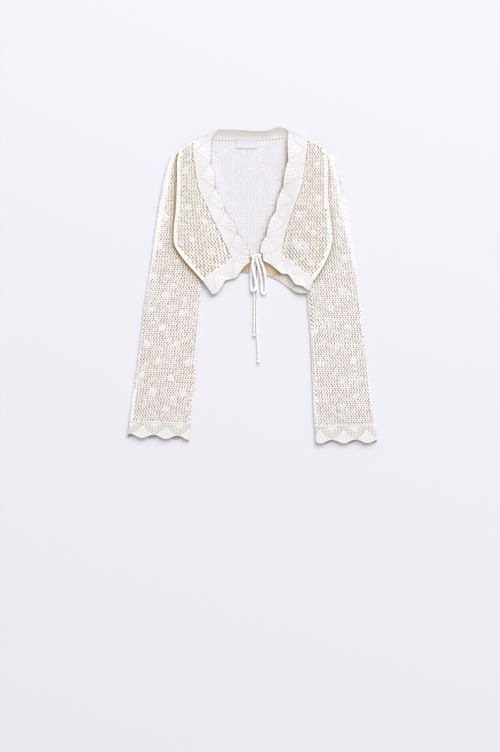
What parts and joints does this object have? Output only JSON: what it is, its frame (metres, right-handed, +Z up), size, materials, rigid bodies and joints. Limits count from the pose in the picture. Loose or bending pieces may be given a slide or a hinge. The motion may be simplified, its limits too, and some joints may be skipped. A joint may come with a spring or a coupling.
{
  "type": "crochet cropped cardigan",
  "caption": "Cropped open-net cardigan laid flat: deep V front with scalloped fan bands, long straight sleeves with scalloped cuffs, tied at the hem with a cord bow.",
  "frame": {"origin": "middle of the garment on the surface that it lies on, without its tie", "axes": "+Z up from the surface that it lies on, +Y towards the neck, +X towards the wearer's left sleeve"},
  "size_m": [0.5504, 0.6951, 0.0134],
  "materials": {
    "net_yarn": "cream mercerised cotton yarn in an open net stitch",
    "band_yarn": "cream cotton yarn in close ribbed fans",
    "tie_cord": "knitted cream cotton cord",
    "label_cloth": "blank white woven satin tape"
  },
  "bodies": {
    "root": {"back": "net_yarn", "front_left": "net_yarn", "front_right": "net_yarn", "sleeve_left": "net_yarn", "sleeve_right": "net_yarn", "cuff_left": "band_yarn", "cuff_right": "band_yarn", "neckband_back": "band_yarn", "front_band_left": "band_yarn", "front_band_right": "band_yarn", "hem_back": "band_yarn", "hem_front_left": "band_yarn", "hem_front_right": "band_yarn", "label": "label_cloth", "tie_knot": "tie_cord", "tie_lead_left": "tie_cord", "tie_lead_right": "tie_cord", "tie_loop_left": "tie_cord", "tie_loop_right": "tie_cord", "tie_tail_long": "tie_cord", "tie_tail_short": "tie_cord", "tie_end_long": "tie_cord", "tie_end_short": "tie_cord"}
  },
  "joints": []
}
